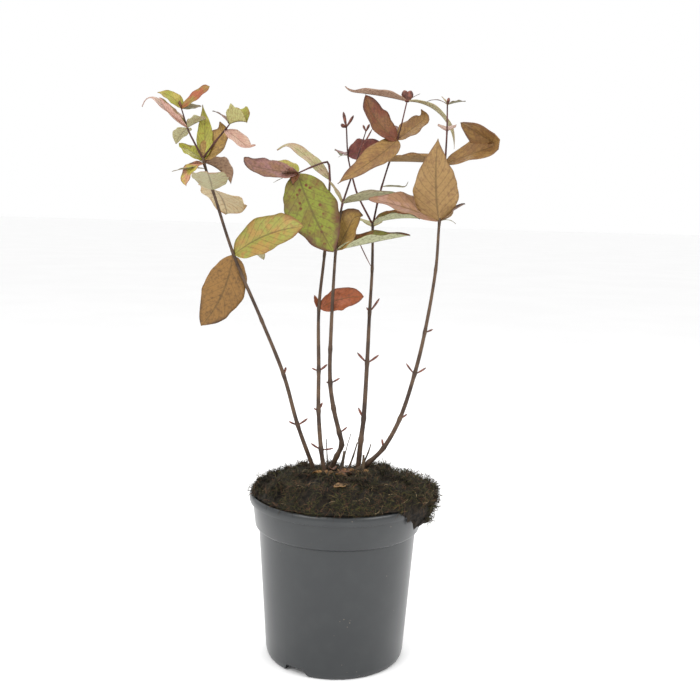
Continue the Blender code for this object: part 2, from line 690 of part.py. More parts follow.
def build_bough(name, bough, limbs):
    tip, along, _ = limbs[bough["fork"]].at(-1)
    start = tip + along * (GAP + 0.4) + Vector((bough["side"] * FORK_SPREAD, 0, 0))
    limb = Limb((start, *bough["nodes"]), bough["width"])
    add_object(name, limb.mesh(), TWIG_BARK)
    return limb


def build_clasping(name, mass, limbs):
    centre, along, cane_radius = limbs[mass["cane"]].at(mass["node"])
    inner = (cane_radius + GAP + 0.15) / math.cos(math.pi / SLEEVE_SIDES)
    half = along * (mass.get("sleeve", SLEEVE_HEIGHT) / 2)
    corners = ((inner, -1), (inner + SLEEVE_WALL, -1), (inner + SLEEVE_WALL, 1), (inner, 1))
    bm = bmesh.new()
    loft(bm, [ring_about(centre + half * end, along, radius, SLEEVE_SIDES) for radius, end in corners], closed=True)
    base = add_object(name, bm, mass["finish"])

    def root_of(growth):
        out = direction_of(growth.heading, 0)
        square = (out - along * out.dot(along)).normalized()
        return centre + square * (inner + SLEEVE_WALL * 0.55) + along * growth.lift

    build_growth(base, mass["leaves"], root_of)


def build_twig(name, mass, limbs):
    tip, along, _ = limbs[mass["limb"]].at(-1)
    limb = Limb((tip + along * GAP, *mass["nodes"]), mass["width"])
    base = add_object(name, limb.mesh(), mass["finish"])
    build_growth(base, mass["leaves"], lambda growth: limb.at(growth.node)[0])


def build_plant():
    limbs = {name: build_cane(name, cane) for name, cane in CANES.items()}
    for name, bough in BOUGHS.items():
        limbs[name] = build_bough(name, bough, limbs)
    for name, mass in CLASPING_FOLIAGE.items():
        build_clasping(name, mass, limbs)
    for name, mass in TWIG_FOLIAGE.items():
        build_twig(name, mass, limbs)
    for name, (width, nodes) in DEAD_STUBS.items():
        add_object(name, Limb(nodes, width).mesh(level_foot=True), DEAD_WOOD)


clear_scene()
build_pot()
build_root_ball()
build_plant()
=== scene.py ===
import math
import random
from dataclasses import dataclass

import bmesh
import bpy
from mathutils import Matrix, Vector, noise


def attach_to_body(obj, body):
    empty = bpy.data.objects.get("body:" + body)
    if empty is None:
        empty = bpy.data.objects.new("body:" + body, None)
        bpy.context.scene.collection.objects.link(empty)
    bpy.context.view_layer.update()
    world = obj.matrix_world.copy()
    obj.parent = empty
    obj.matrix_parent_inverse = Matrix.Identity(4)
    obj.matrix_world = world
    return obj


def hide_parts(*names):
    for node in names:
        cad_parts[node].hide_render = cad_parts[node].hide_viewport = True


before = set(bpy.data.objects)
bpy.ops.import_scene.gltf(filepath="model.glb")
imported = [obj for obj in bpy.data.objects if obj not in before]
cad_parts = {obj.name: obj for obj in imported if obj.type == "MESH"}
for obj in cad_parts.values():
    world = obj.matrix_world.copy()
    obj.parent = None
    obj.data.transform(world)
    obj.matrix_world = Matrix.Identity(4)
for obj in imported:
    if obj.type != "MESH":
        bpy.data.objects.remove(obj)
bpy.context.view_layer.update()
random.seed(7)

# Camera: at the photograph's viewing angle, level with the foliage and looking down a little on the pot,
# with a long lens from about 0.9 m away. It leans slightly to one side, as the photograph does.
CAMERA_DISTANCE = 0.8965
CAMERA_HEIGHT = 0.4275
CAMERA_YAW = 0.0087
CAMERA_PITCH = -0.1403
CAMERA_ROLL = 0.0273
SENSOR_WIDTH = 36
LENS = 48.86

flat_aim = math.cos(CAMERA_PITCH)
aim = Vector((math.sin(CAMERA_YAW) * flat_aim, math.cos(CAMERA_YAW) * flat_aim, math.sin(CAMERA_PITCH)))
level_right = aim.cross(Vector((0, 0, 1))).normalized()
level_up = level_right.cross(aim)
right = level_right * math.cos(CAMERA_ROLL) + level_up * math.sin(CAMERA_ROLL)
up = level_up * math.cos(CAMERA_ROLL) - level_right * math.sin(CAMERA_ROLL)
placed = Matrix((right, up, -aim)).transposed().to_4x4()
placed.translation = Vector((0, -CAMERA_DISTANCE, CAMERA_HEIGHT))
camera = bpy.data.objects.new("camera", bpy.data.cameras.new("camera"))
camera.data.sensor_width = SENSOR_WIDTH
camera.data.lens = LENS
camera.data.clip_start = 0.01
camera.matrix_world = placed
bpy.context.scene.collection.objects.link(camera)
bpy.context.scene.camera = camera

# Pot: a round nursery container, injection-moulded in polypropylene. It has a rolled lip, a deep band, a
# tapering wall and a foot ring with two drainage slots, and its raised floor has six drain holes.
MM = 0.001
POT_SIDES = 160
POT_OUTLINE = (
    (14, 0), (14, 8), (58.7, 8), (58.7, 0), (63.6, 0), (65.6, 0.9), (66.8, 3), (67.7, 7), (71.8, 66),
    (76.2, 128), (79.1, 130), (79.8, 131.2), (82.5, 153), (85, 154), (85.7, 156), (85.7, 160), (84.9, 161.6),
    (83.6, 162.2), (82.3, 161.6), (80.9, 159.4), (78.2, 131.8), (74.7, 128.8), (66.3, 13.6), (62.3, 9.6),
)
SLOT_HEADINGS = (237, 57)
SLOT_INSIDE = 47
SLOT_OUTSIDE = 75
SLOT_FOOT = 30
SLOT_TOP = 19
SLOT_START = -2
SLOT_HEIGHT = 7.4
HOLES = 6
HOLE_CIRCLE = 44
HOLE_WIDTH = 8
HOLE_MIDDLE = 8.8
FIRST_HOLE = 15
SOFT_EDGE = 35

bpy.ops.object.select_all(action="DESELECT")
bpy.ops.mesh.primitive_circle_add(vertices=POT_SIDES, radius=POT_OUTLINE[0][0] * MM, fill_type="NGON")
pot = bpy.context.object
pot.name = "pot_shell"
pot.data.name = "pot_shell"
bpy.ops.object.mode_set(mode="EDIT")
for (reach, height), (next_reach, next_height) in zip(POT_OUTLINE, POT_OUTLINE[1:]):
    growth = next_reach / reach
    bpy.ops.mesh.extrude_region_move(TRANSFORM_OT_translate={"value": (0, 0, (next_height - height) * MM)})
    bpy.ops.transform.resize(value=(growth, growth, 1), center_override=(0, 0, 0))
bpy.ops.mesh.select_all(action="SELECT")
bpy.ops.mesh.normals_make_consistent(inside=False)
bpy.ops.object.mode_set(mode="OBJECT")


def steady_faces(piece):
    """Sort the faces and their first corners, which extruding leaves in another order in each run."""
    mesh = piece.data
    places = [vertex.co.copy() for vertex in mesh.vertices]
    faces = []
    for face in mesh.polygons:
        corners = list(face.vertices)
        first = corners.index(min(corners))
        faces.append(corners[first:] + corners[:first])
    mesh.clear_geometry()
    mesh.from_pydata(places, [], sorted(faces))


steady_faces(pot)


def cut_away(piece, cutter):
    """Take the cutter's shape out of the piece, and the cutter out of the scene."""
    bpy.context.view_layer.objects.active = piece
    cut = piece.modifiers.new("cut", "BOOLEAN")
    cut.operation = "DIFFERENCE"
    cut.object = cutter
    bpy.ops.object.modifier_apply(modifier=cut.name)
    bpy.data.objects.remove(cutter)


for heading in SLOT_HEADINGS:
    middle = Vector(((SLOT_INSIDE + SLOT_OUTSIDE) / 2, 0, (SLOT_START + SLOT_HEIGHT) / 2)) * MM
    size = Vector((SLOT_OUTSIDE - SLOT_INSIDE, SLOT_FOOT, SLOT_HEIGHT - SLOT_START)) * MM
    bpy.ops.mesh.primitive_cube_add(size=1, location=middle, scale=size)
    cutter = bpy.context.object
    bpy.ops.object.mode_set(mode="EDIT")
    bpy.ops.mesh.select_all(action="DESELECT")
    for face in bmesh.from_edit_mesh(cutter.data).faces:
        if face.normal.z > 0.5:
            face.select_set(True)
    bpy.ops.transform.resize(value=(1, SLOT_TOP / SLOT_FOOT, 1))
    bpy.ops.object.mode_set(mode="OBJECT")
    cutter.matrix_world = Matrix.Rotation(math.radians(heading), 4, "Z") @ cutter.matrix_world
    cut_away(pot, cutter)
for i in range(HOLES):
    turn = math.radians(FIRST_HOLE + 360 / HOLES * i)
    middle = Vector((HOLE_CIRCLE * math.cos(turn), HOLE_CIRCLE * math.sin(turn), HOLE_MIDDLE)) * MM
    bpy.ops.mesh.primitive_cylinder_add(vertices=24, radius=HOLE_WIDTH / 2 * MM, depth=0.01, location=middle)
    cut_away(pot, bpy.context.object)
bpy.ops.object.select_all(action="DESELECT")
pot.select_set(True)
bpy.ops.object.shade_smooth_by_angle(angle=math.radians(SOFT_EDGE))


def rgb(code):
    """An sRGB hex colour as linear light."""
    channels = [int(code[i:i + 2], 16) / 255 for i in (0, 2, 4)]
    return (*(c / 12.92 if c <= 0.04045 else ((c + 0.055) / 1.055) ** 2.4 for c in channels), 1.0)


def add_node(tree, kind, inputs, output=0, **settings):
    """Add a node with its settings, set or link its inputs, and return one of its outputs."""
    made = tree.nodes.new(kind)
    for name, value in settings.items():
        setattr(made, name, value)
    for name, value in inputs.items():
        if isinstance(value, bpy.types.NodeSocket):
            tree.links.new(value, made.inputs[name])
        else:
            made.inputs[name].default_value = value
    return made.outputs[output]


def new_material(name, roughness, shine=0.3):
    made = bpy.data.materials.new(name)
    made.use_nodes = True
    shader = made.node_tree.nodes["Principled BSDF"]
    shader.inputs["Roughness"].default_value = roughness
    shader.inputs["Specular IOR Level"].default_value = shine
    return made, made.node_tree, shader


def attach(piece, slot, *solids):
    """The piece rides on the plant's one body and stands for these solids. Its slot is not used."""
    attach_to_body(piece, "root")
    if solids:
        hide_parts(*solids)


# Moulded polypropylene is satin: it takes a soft sheen down its sides. Handling leaves faint dust in patches
# of 17 mm and a few specks of soil, up to 1.5 mm wide. The mould's fine grain is drawn at 0.8 mm.
polypropylene, tree, shader = new_material("moulded_polypropylene", 0.28, 0.6)
DUST_PATCH = 16.67
SOIL_SPACING = 5.88
SOIL_PATCH = 22.2
MOULD_GRAIN = 0.833
place = add_node(tree, "ShaderNodeTexCoord", {}, "Object")
dust = add_node(tree, "ShaderNodeTexNoise", {"Vector": place, "Scale": 1 / (DUST_PATCH * MM), "Detail": 8})
dust = add_node(tree, "ShaderNodeMapRange",
                {"Value": dust, "From Min": 0.35, "From Max": 0.85, "To Max": 0.25},
                interpolation_type="SMOOTHSTEP")
colour = add_node(tree, "ShaderNodeMix", {0: dust, 6: rgb("222527"), 7: rgb("363939")}, 2, data_type="RGBA")
soil = add_node(tree, "ShaderNodeTexVoronoi", {"Vector": place, "Scale": 1 / (SOIL_SPACING * MM)})
soil = add_node(tree, "ShaderNodeMapRange",
                {"Value": soil, "From Min": 0.06, "From Max": 0.13, "To Min": 0.6, "To Max": 0},
                interpolation_type="SMOOTHSTEP")
soiled = add_node(tree, "ShaderNodeTexNoise", {"Vector": place, "Scale": 1 / (SOIL_PATCH * MM), "Detail": 3})
soiled = add_node(tree, "ShaderNodeMapRange", {"Value": soiled, "From Min": 0.57, "From Max": 0.64},
                  interpolation_type="SMOOTHSTEP")
soil = add_node(tree, "ShaderNodeMath", {0: soil, 1: soiled}, operation="MULTIPLY")
colour = add_node(tree, "ShaderNodeMix", {0: soil, 6: colour, 7: rgb("85796a")}, 2, data_type="RGBA")
tree.links.new(colour, shader.inputs["Base Color"])
grain = add_node(tree, "ShaderNodeTexNoise", {"Vector": place, "Scale": 1 / (MOULD_GRAIN * MM), "Detail": 2})
relief = add_node(tree, "ShaderNodeBump", {"Height": grain, "Strength": 0.12, "Distance": 0.0002})
tree.links.new(relief, shader.inputs["Normal"])
pot.data.materials.append(polypropylene)
attach(pot, "pot_plastic", "pot")

# Root ball: the peat that the plant was raised in, heaped above the pot's lip and spilling over it on the
# right. It is the solid's own shape, made clumpy above the lip and lower behind, on the left and at the
# spill's end.
HEAP_FOOT = 0.1635
LIP_OUTSIDE = 0.0868
FINE_ABOVE = 0.14
LUMPS_PER_METRE = 62
LUMP_HEIGHT = 0.0085
CLODS_PER_METRE = 170
CLOD_HEIGHT = 0.0065
FULL_RELIEF_ABOVE = 0.006
OUTWARD_SHARE = 0.4

# Each is the distance at which the heap starts to sink, that over which it does, and the share it loses.
BACK_SINK = (0.006, 0.04, 0.68)
LEFT_SINK = (0.026, 0.035, 0.55)
SPILL_SINK = (0.055, 0.035, 0.4)


def clamp(value):
    return min(1.0, max(0.0, value))


def sunk_share(distance, start, run, most):
    return clamp((distance - start) / run) * most


def coarse_material(name, dark, light, patch, roughness, relief=0.0, grain=1.0):
    """Two colours in patches of one size, with relief of a finer grain. Both sizes are in millimetres."""
    made, tree, shader = new_material(name, roughness)
    place = add_node(tree, "ShaderNodeTexCoord", {}, "Object")
    patches = add_node(tree, "ShaderNodeTexNoise", {"Vector": place, "Scale": 1 / (patch * MM), "Detail": 3})
    patches = add_node(tree, "ShaderNodeMapRange", {"Value": patches, "From Min": 0.35, "From Max": 0.65},
                       interpolation_type="SMOOTHSTEP")
    colour = add_node(tree, "ShaderNodeMix", {0: patches, 6: rgb(dark), 7: rgb(light)}, 2, data_type="RGBA")
    tree.links.new(colour, shader.inputs["Base Color"])
    if relief:
        rough = add_node(tree, "ShaderNodeTexNoise",
                         {"Vector": place, "Scale": 1 / (grain * MM), "Detail": 6})
        raised = add_node(tree, "ShaderNodeBump", {"Height": rough, "Strength": 0.8, "Distance": relief})
        tree.links.new(raised, shader.inputs["Normal"])
    return made


def finish_piece(name, bm, materials, slot, *solids):
    """Make the mesh an object, with its faces turned outwards, and attach it."""
    bmesh.ops.recalc_face_normals(bm, faces=bm.faces)
    mesh = bpy.data.meshes.new(name)
    bm.to_mesh(mesh)
    bm.free()
    for made in materials:
        mesh.materials.append(made)
    piece = bpy.data.objects.new(name, mesh)
    bpy.context.scene.collection.objects.link(piece)
    attach(piece, slot, *solids)


# Wet peat is nearly black and has no shine. Its crumbs are about 2 mm across.
peat = coarse_material("peat", "120f0b", "2a2219", 4.167, 0.95, 0.002, 2.0)
bm = bmesh.new()
bm.from_mesh(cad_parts["root_ball"].data)
bmesh.ops.remove_doubles(bm, verts=bm.verts, dist=0.00002)
for _ in range(2):
    heap = [edge for edge in bm.edges if min(vert.co.z for vert in edge.verts) > FINE_ABOVE]
    bmesh.ops.subdivide_edges(bm, edges=heap, cuts=1, use_grid_fill=True)
bmesh.ops.triangulate(bm, faces=bm.faces)
for vert in bm.verts:
    reach = math.hypot(vert.co.x, vert.co.y)
    free = 1.0 if reach >= LIP_OUTSIDE + MM else clamp((vert.co.z - HEAP_FOOT) / FULL_RELIEF_ABOVE)
    if vert.co.z > HEAP_FOOT:
        sunk = max(sunk_share(vert.co.y, *BACK_SINK), sunk_share(-vert.co.x, *LEFT_SINK),
                   sunk_share(vert.co.x, *SPILL_SINK))
        vert.co.z = HEAP_FOOT + (vert.co.z - HEAP_FOOT) * (1 - sunk)
    lump = noise.noise(vert.co * LUMPS_PER_METRE) * LUMP_HEIGHT
    clod = noise.noise(vert.co * CLODS_PER_METRE) * CLOD_HEIGHT
    out = Vector((vert.co.x, vert.co.y, 0)).normalized() * (OUTWARD_SHARE if reach > LIP_OUTSIDE else 0.0)
    vert.co += (Vector((0, 0, 1)) + out) * ((lump + clod) * free)
heap_faces = []
for face in bm.faces:
    face.smooth = True
    centre = face.calc_center_median()
    if face.normal.z > -0.3 and (centre.z > HEAP_FOOT or centre.xy.length > LIP_OUTSIDE):
        heap_faces.append((centre, face.normal.copy(), face.calc_area()))
finish_piece("peat_heap", bm, (peat,), "compost", "root_ball")

# Canes: five thin woody stems that stand in the root ball. Each tapers, is swollen a little at its nodes and
# carries pairs of dry bud scales there.
FOOT = 183.3
ROOT_DEPTH = 9
LIMB_STEP = 5.0
LIMB_SIDES = 12
NODE_SWELL = 1.22
BUD_SIDES = 8
BUD_OUTLINE = ((0.0, 0.5), (0.15, 0.6), (0.35, 0.8), (0.55, 0.98), (0.75, 1.0), (0.9, 0.7), (1.0, 0.25))


@dataclass
class Bud:
    node: int
    heading: float
    rise: float
    length: float
    width: float


# The plant's plan is in millimetres and degrees: a heading turns from +X towards +Y, and a rise goes up from
# level. A cane passes the points listed as its nodes, from its foot to its tip.
CANES = {
    "cane_left": {
        "width": (4.2, 2.3),
        "nodes": ((-24.5, 2, FOOT), (-40.5, -2, 227), (-54.5, -8, 276.5), (-75.5, -14, 328.5),
                  (-101, -25, 389.5), (-119, -36, 447), (-125.7, -41.4, 469), (-126.8, -42.2, 475)),
        "buds": (Bud(1, 180, 15, 9, 2.0), Bud(1, 0, 30, 11, 2.2), Bud(2, 30, 70, 7, 2.4)),
    },
    "cane_mid_left": {
        "width": (4.4, 2.2),
        "nodes": ((-13.5, -8, FOOT), (-17.4, -7, 204.6), (-20.8, -3, 241.7), (-21.6, 2, 279.5),
                  (-23, 10, 338.8), (-19, 18, 390), (-16.3, 25, 441), (-15.8, 27.2, 457)),
        "buds": (Bud(1, 178, 25, 11, 2.1), Bud(1, 5, 0, 12, 1.8), Bud(2, 20, 62, 8, 2.2),
                 Bud(2, 170, 20, 5, 1.6), Bud(3, 175, 15, 7, 1.6), Bud(3, 350, 35, 10, 2.3)),
    },
    "cane_middle": {
        "width": (5.0, 2.2),
        "nodes": ((-7.2, 8, FOOT), (-2.2, 6, 195.4), (2.3, 5, 206.8), (-0.4, 4, 219), (-6.5, 3, 243.3),
                  (-10.3, 2, 268), (-11, 0, 301), (-8.2, 2, 395), (-4.6, 6.5, 429), (-3.8, 7.4, 434)),
        "buds": (Bud(3, 5, 32, 9, 1.9), Bud(5, 10, 22, 10, 1.9), Bud(5, 185, 10, 4, 1.5)),
    },
    "cane_mid_right": {
        "width": (5.2, 2.3),
        "nodes": ((18.8, 6, FOOT), (20.9, 8, 211.5), (23, 11, 232), (25, 20, 285.7), (26.2, 28, 335),
                  (27.6, 34, 377), (27, 39, 417.5), (26.6, 39.8, 421.5)),
        "buds": (Bud(2, 150, 55, 11, 2.4), Bud(3, 175, 40, 13, 2.3), Bud(3, 5, 30, 13, 2.3),
                 Bud(4, 0, 52, 15, 2.2), Bud(4, 185, 50, 5, 1.6), Bud(5, 165, 58, 27, 1.1)),
    },
    "cane_right": {
        "width": (4.6, 2.2),
        "nodes": ((16, -6, FOOT), (29.2, -7, 193.8), (42.4, -8, 208), (56.9, -10, 237.3), (69.2, -12, 281),
                  (77.2, -14, 321.3), (85, -15, 380), (87, -12, 424.7), (90.1, -6, 453.5), (90.9, -3, 470.5)),
        "buds": (Bud(2, 150, 75, 8, 2.2), Bud(3, 0, 30, 8, 1.9), Bud(4, 165, 45, 12, 1.8),
                 Bud(4, 5, 25, 12, 1.9), Bud(5, 10, 15, 8, 1.8)),
    },
}


def direction_of(heading, rise):
    flat = math.cos(math.radians(rise))
    turn = math.radians(heading)
    return Vector((flat * math.cos(turn), flat * math.sin(turn), math.sin(math.radians(rise))))


def mix(a, b, share):
    return a + (b - a) * share


def smooth_route(nodes):
    """Points along a smooth curve through the nodes, and the index of each node among them."""
    knots = [Vector(node) for node in nodes]
    ends = [knots[0] * 2 - knots[1], *knots, knots[-1] * 2 - knots[-2]]
    points, marks = [knots[0]], [0]
    for before, start, end, after in zip(ends, knots, knots[1:], ends[3:]):
        span = (end - start).length
        leave = (end - before) * (span / max((end - before).length, span))
        arrive = (after - start) * (span / max((after - start).length, span))
        pieces = max(1, math.ceil(span / LIMB_STEP))
        for piece in range(1, pieces + 1):
            t = piece / pieces
            points.append(start * (2 * t ** 3 - 3 * t ** 2 + 1) + end * (3 * t ** 2 - 2 * t ** 3)
                          + leave * (t ** 3 - 2 * t ** 2 + t) + arrive * (t ** 3 - t ** 2))
        marks.append(len(points) - 1)
    return points, marks


def ring_about(centre, along, radius, sides):
    """A ring square to a limb, turned so that its corners keep their headings all the way up."""
    across = (Vector((0, 1, 0)) - along * along.y).normalized()
    other = along.cross(across)
    turns = [math.tau * i / sides for i in range(sides)]
    return [centre + (across * math.cos(turn) + other * math.sin(turn)) * radius for turn in turns]


class Limb:
    """A tapering limb through its nodes, swollen a little at each of them."""

    def __init__(self, nodes, width):
        self.points, self.marks = smooth_route(nodes)
        lengths = [(b - a).length for a, b in zip(self.points, self.points[1:])]
        runs = [sum(lengths[:i]) for i in range(len(self.points))]
        self.radii = [mix(width[0], width[1], run / runs[-1]) / 2 for run in runs]
        before = [self.points[0], *self.points[:-1]]
        after = [*self.points[1:], self.points[-1]]
        self.along = [(b - a).normalized() for a, b in zip(before, after)]

    def at(self, node):
        mark = self.marks[node]
        return self.points[mark], self.along[mark], self.radii[mark]

    def rings(self):
        found = []
        for i, (point, along, radius) in enumerate(zip(self.points, self.along, self.radii)):
            swell = NODE_SWELL if i in self.marks[1:-1] else 1.0
            wobble = 1 + 0.06 * noise.noise(point * 0.11)
            found.append(ring_about(point, along, radius * swell * wobble, LIMB_SIDES))
        return found

    def rooted_rings(self):
        """Its rings, and one before them that is sunk in the peat."""
        foot, along, radius = self.at(0)
        return [ring_about(foot - along * ROOT_DEPTH, along, radius, LIMB_SIDES), *self.rings()]


def grow_tube(bm, rings, slot):
    loops = [[bm.verts.new(point * MM) for point in ring] for ring in rings]
    for low, high in zip(loops, loops[1:]):
        for i, corner in enumerate(low):
            after = (i + 1) % len(low)
            face = bm.faces.new((corner, low[after], high[after], high[i]))
            face.material_index = slot
            face.smooth = True
    for loop in (loops[0], loops[-1]):
        bm.faces.new(loop).material_index = slot


def grow_bud(bm, bud, root, slot):
    """A bud or capsule of two pressed scales, fuller past its middle and open at its tip."""
    along = direction_of(bud.heading, bud.rise)
    curve = Vector((0, 0, bud.length * 0.12))
    rings = []
    for reach, share in BUD_OUTLINE:
        centre = root + along * (bud.length * reach) + curve * (reach ** 2)
        rings.append(ring_about(centre, along, bud.width / 2 * share, BUD_SIDES))
    grow_tube(bm, rings, slot)


# Old bark is dull olive-brown, mottled every 14 mm and finely ridged. Dry scales are redder and smooth.
bark = coarse_material("cane_bark", "382a21", "584433", 14.29, 0.55, 0.0003, 1.111)
bud_scales = coarse_material("bud_scales", "4a2c24", "7a4a3c", 3.333, 0.55)
limbs = {}
for name, cane in CANES.items():
    limb = Limb(cane["nodes"], cane["width"])
    limbs[name] = limb
    bm = bmesh.new()
    grow_tube(bm, limb.rooted_rings(), 0)
    for bud in cane["buds"]:
        grow_bud(bm, bud, limb.at(bud.node)[0], 1)
    finish_piece(name + "_bark", bm, (bark, bud_scales), "bark", name)

# Boughs: the two thinner shoots of the last summer above each fork. Both grow out of the tip of their cane,
# on its two sides, so the first ring of each is sunk in that tip.
GAP = 0.3
BOUGH_START = GAP + 0.4
BOUGH_SINK = 1.5
FORK_SPREAD = 1.1
BOUGHS = {
    "bough_left_outer": {"fork": "cane_left", "side": -1, "width": (1.8, 1.6),
                         "nodes": ((-138.6, -39.4, 494.5),)},
    "bough_left_inner": {"fork": "cane_left", "side": 1, "width": (1.8, 1.6),
                         "nodes": ((-115, -49.5, 488.5), (-109, -53, 495))},
    "bough_mid_right_left": {"fork": "cane_mid_right", "side": -1, "width": (2.0, 1.7),
                             "nodes": ((11.5, 46, 448), (5.6, 50, 466))},
    "bough_mid_right_right": {"fork": "cane_mid_right", "side": 1, "width": (2.0, 1.8),
                              "nodes": ((31, 42, 440.6), (33.8, 43.7, 452.6))},
}

# Young bark is redder than the canes' and smooth, with ridges finer than 1 mm drawn at 1.1 mm.
young_bark = coarse_material("twig_bark", "3a211d", "552f28", 11.11, 0.5, 0.0002, 1.111)
for name, bough in BOUGHS.items():
    tip, along, _ = limbs[bough["fork"]].at(-1)
    start = tip + along * BOUGH_START + Vector((bough["side"] * FORK_SPREAD, 0, 0))
    limb = Limb((start, *bough["nodes"]), bough["width"])
    limbs[name] = limb
    bm = bmesh.new()
    grow_tube(bm, [ring_about(tip - along * BOUGH_SINK, along, limb.radii[0], LIMB_SIDES), *limb.rings()], 0)
    finish_piece(name + "_bark", bm, (young_bark,), "bark", name)

# Foliage at the canes' nodes: leaves that clasp the cane and have no stalk. Blades are thin, with raised
# halves, a sunk midrib, waved and ragged margins, and colours that turn from the margin and tip inwards.
LEAF_BASE = 0.62
LEAF_SEGMENT = 2.4
SLIM_LEAF = 12
LEAF_WAVE = 0.035
LEAF_QUILT = 0.012
LEAF_RAGGED = 0.09


@dataclass
class Leaf:
    """A leaf, in millimetres and degrees, from the node it grows at.

    Heading and rise are those of its base, and lift sets that above the node. It droops along its whole
    length, and hooks down after the crease, over a share of its length called snap. Sway turns it sideways,
    and roll turns it round its midrib. Its halves fold up, and curl folds them more towards the tip. A larger
    point makes the tip longer and finer.
    """

    look: str
    node: int
    heading: float
    rise: float
    length: float
    width: float
    lift: float = 0.0
    droop: float = 15.0
    hook: float = 0.0
    crease: float = 0.7
    sway: float = 0.0
    roll: float = 0.0
    fold: float = 12.0
    curl: float = 0.0
    point: float = 0.95
    snap: float = 0.28


CLASPING_FOLIAGE = {
    "foliage_left_low": {
        "cane": "cane_left", "node": 4,
        "leaves": (Leaf("golden", 0, 345, 40, 72, 40, droop=34, roll=58, fold=8, point=0.75),
                   Leaf("tan_brown", 0, 160, -84, 76, 38, droop=-38, roll=60, fold=6, point=0.8),
                   Leaf("olive", 0, 62, 12, 52, 26, droop=35)),
    },
    "foliage_left_middle": {
        "cane": "cane_left", "node": 5,
        "leaves": (Leaf("pale", 0, 271, 30, 40, 32, droop=18, fold=10, point=0.6),
                   Leaf("cream", 0, 75, -1, 42, 50, droop=58, roll=18, fold=5, point=0.55)),
    },
    "foliage_left_fork": {
        "cane": "cane_left", "node": 6,
        "leaves": (Leaf("mauve", 0, 48, -6, 36, 26, lift=1, droop=42, fold=56, roll=10),
                   Leaf("lime_pink", 0, 200, -6, 28, 19, lift=1, droop=88, roll=-20, point=0.7),
                   Leaf("grey_green", 0, 190, 6, 29, 10, lift=-3.9, droop=24),
                   Leaf("dark", 0, 172, 12, 13, 4, lift=0),
                   Leaf("olive", 0, 140, 30, 19, 12, lift=2),
                   Leaf("lime", 0, 78, 66, 52, 15, lift=3.9, droop=-10, sway=50, point=1.2, roll=-10),
                   Leaf("lime", 0, 152, 32, 30, 19, lift=3.9, droop=5, roll=-20),
                   Leaf("amber", 0, 35, 54, 41, 22, lift=3.6, droop=0, hook=-70, roll=40)),
    },
    "foliage_mid_left_low": {
        "cane": "cane_mid_left", "node": 4,
        "leaves": (Leaf("russet", 0, 350, 36, 45, 24, droop=36, roll=58, fold=5, point=0.7),
                   Leaf("russet", 0, 120, 62, 15, 6)),
    },
    "foliage_middle_low": {
        "cane": "cane_middle", "node": 7,
        "leaves": (Leaf("green_brown", 0, 3, 14, 71, 24, droop=2, fold=52, roll=14),
                   Leaf("amber", 0, 20, 60, 44, 34, droop=-5, hook=60, roll=30, curl=60, fold=5, point=0.6)),
    },
    "foliage_mid_right_fork": {
        "cane": "cane_mid_right", "node": 6,
        "leaves": (Leaf("green_brown", 0, 355, 20, 46, 20, lift=3, droop=24, fold=50, roll=15),
                   Leaf("olive", 0, 95, 25, 44, 24, droop=40)),
    },
    "foliage_right_low": {
        "cane": "cane_right", "node": 7,
        "leaves": (Leaf("tan", 0, 215, 76, 75, 42, droop=-20, roll=52, fold=8, point=1.25),
                   Leaf("tan_pink", 0, 178, 24, 68, 34, droop=16, roll=-35, fold=20),
                   Leaf("dark", 0, 20, 42, 30, 19, curl=40),
                   Leaf("grey_green", 0, 10, 30, 16, 3.2, droop=70),
                   Leaf("tan", 0, 88, 30, 50, 28, droop=45)),
    },
}


def leaf_outline(share, point):
    """Half width along the leaf, as a share of its widest."""
    widest = LEAF_BASE / (LEAF_BASE + point)
    return (share ** LEAF_BASE * (1 - share) ** point) / (widest ** LEAF_BASE * (1 - widest) ** point)


def leaf_rows(leaf, root):
    """Rows from the leaf's base to its tip, of points with a place, the way they face and two map shares."""
    segments = max(14, round(leaf.length / LEAF_SEGMENT))
    lanes = 6 if leaf.width > SLIM_LEAF else 3
    seed = leaf.heading * 0.37 + leaf.length * 1.7 + leaf.node
    fold, curl = math.radians(leaf.fold), math.radians(leaf.curl)
    spot = root.copy()
    rows = []
    for i in range(segments + 1):
        share = i / segments
        turned = clamp((share - leaf.crease) / leaf.snap)
        heading = leaf.heading + leaf.sway * share
        pitch = leaf.rise - leaf.droop * share - leaf.hook * turned * turned * (3 - 2 * turned)
        forward = direction_of(heading, pitch)
        if i:
            spot = spot + forward * (leaf.length / segments)
        level = Vector((-math.sin(math.radians(heading)), math.cos(math.radians(heading)), 0))
        above = forward.cross(level)
        roll = math.radians(leaf.roll)
        left = level * math.cos(roll) + above * math.sin(roll)
        top = above * math.cos(roll) - level * math.sin(roll)
        row = []
        for lane in range(-lanes, lanes + 1):
            side = (lane > 0) - (lane < 0)
            reach = abs(lane) / lanes
            ragged = 1 + LEAF_RAGGED * noise.noise(Vector((share * 9, side * 3.1, seed))) * reach
            half = max(leaf_outline(share, leaf.point) * leaf.width / 2, mix(0.85, 0.2, share)) * ragged
            mean = fold + curl * share * reach / 2
            wave = math.sin(share * 17 + side * 2.1 + seed) * reach ** 2 * min(1, share * 4) * LEAF_WAVE
            quilt = math.sin(share * 40 - reach * 7) * reach * (1 - reach) * 2 * LEAF_QUILT
            point = spot + (left * (side * math.cos(mean)) + top * math.sin(mean)) * (half * reach)
            point = point + top * (leaf.width * (wave + quilt))
            facing = top * math.cos(mean) - left * (side * math.sin(mean))
            row.append((point, facing, share, 0.5 + 0.5 * lane / lanes))
        rows.append(row)
    return rows


